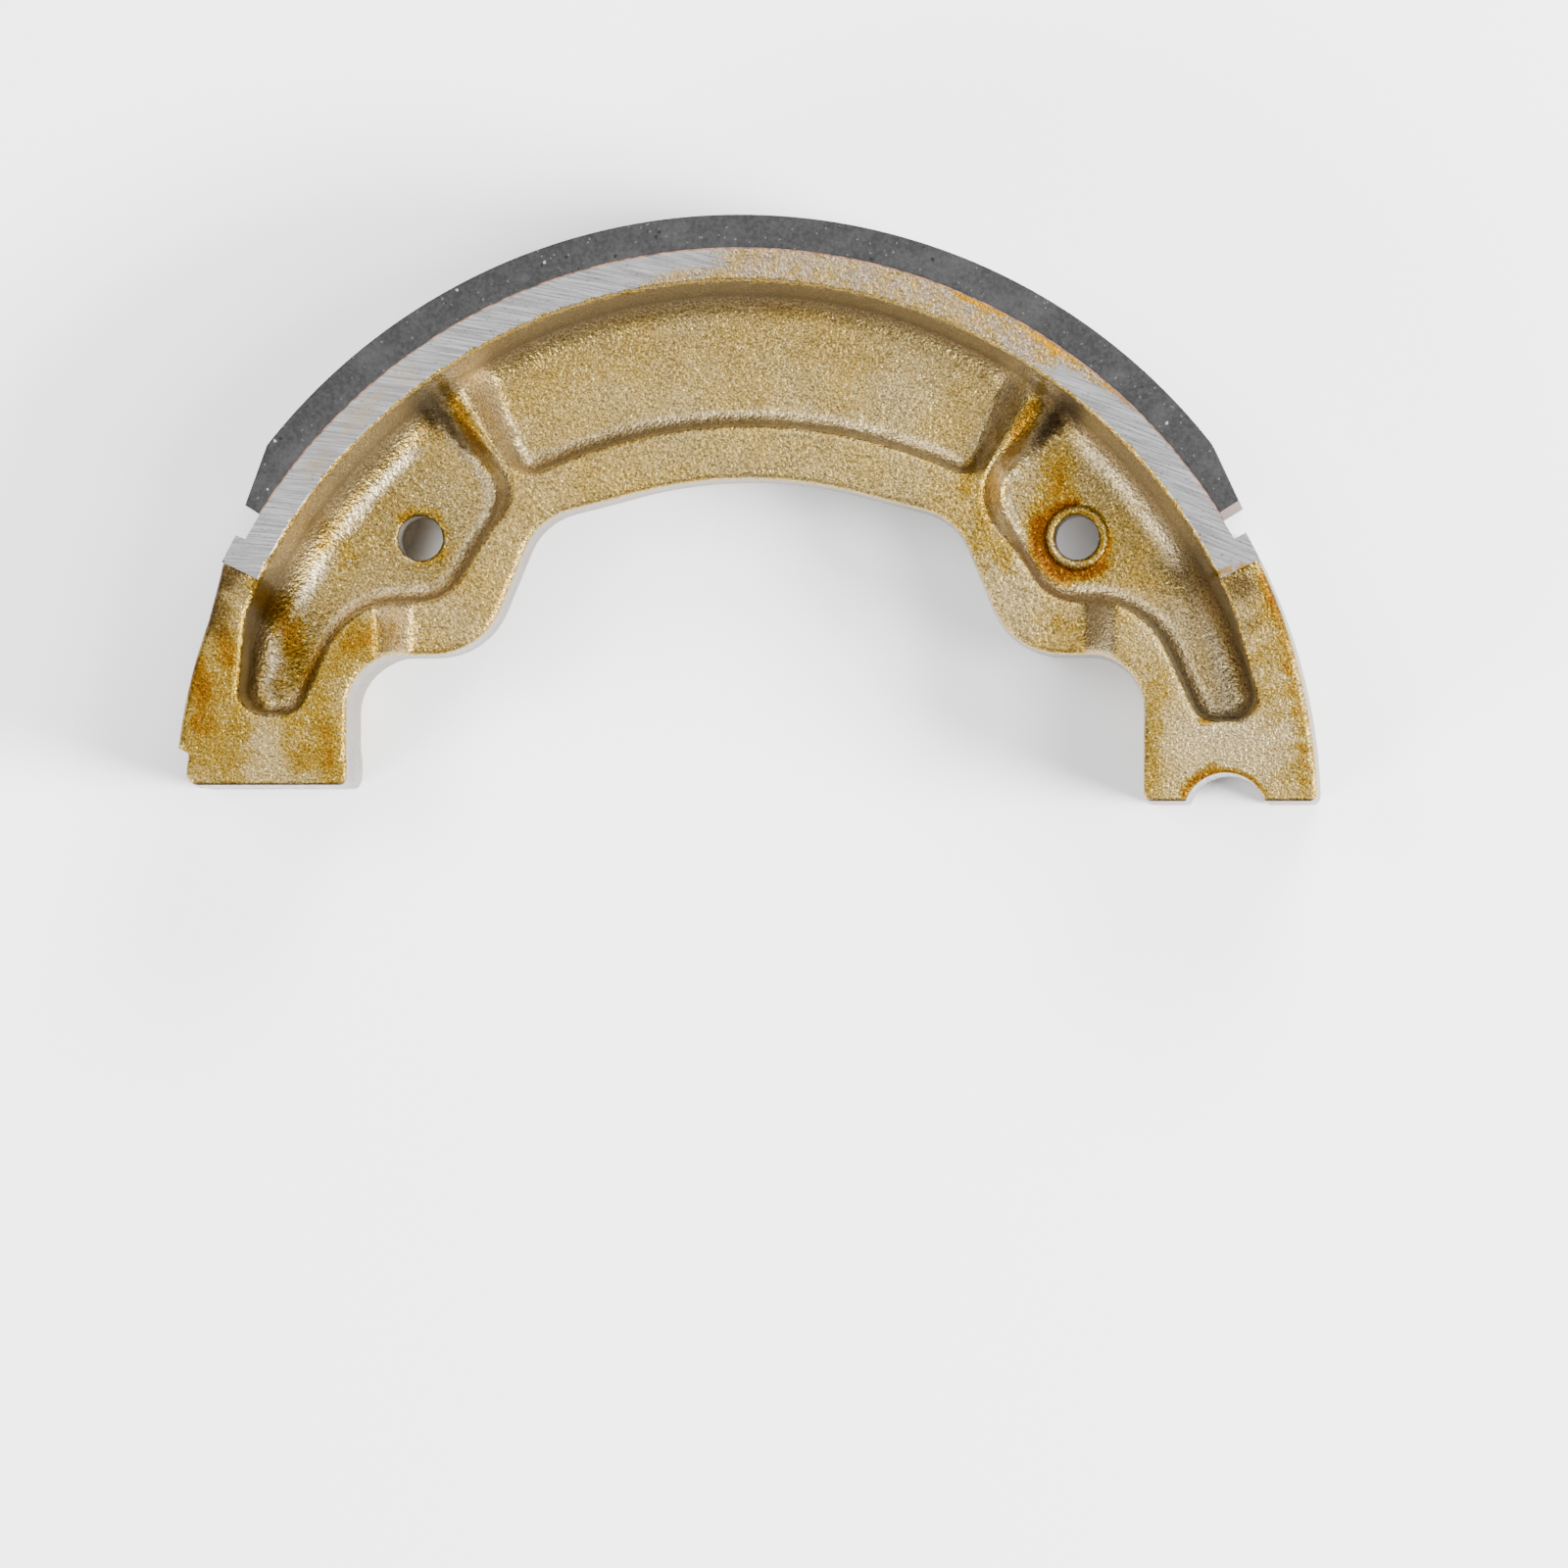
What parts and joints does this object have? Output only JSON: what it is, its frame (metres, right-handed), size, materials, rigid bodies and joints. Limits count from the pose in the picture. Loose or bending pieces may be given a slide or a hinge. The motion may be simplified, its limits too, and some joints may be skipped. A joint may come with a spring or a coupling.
{
  "type": "brake shoe",
  "caption": "Curved drum-brake shoe: a die-cast light-alloy casting with a pocketed web, a half-round anchor seat at one end, a flat cam face at the other and a bonded friction lining.",
  "frame": {"origin": "on the axis of the drum, in the plane of the lower side face", "axes": "+Z along the axis of the drum, up as the shoe lies on its side; +Y towards the middle of the lining; +X towards the anchor end"},
  "size_m": [0.1234, 0.0635, 0.028],
  "materials": {
    "cast_alloy": "blasted die casting with machined side faces",
    "bond_adhesive": "matte",
    "friction_composite": "matte"
  },
  "bodies": {
    "root": {"shoe_casting": "cast_alloy", "bond_film": "bond_adhesive", "friction_lining": "friction_composite"}
  },
  "joints": []
}
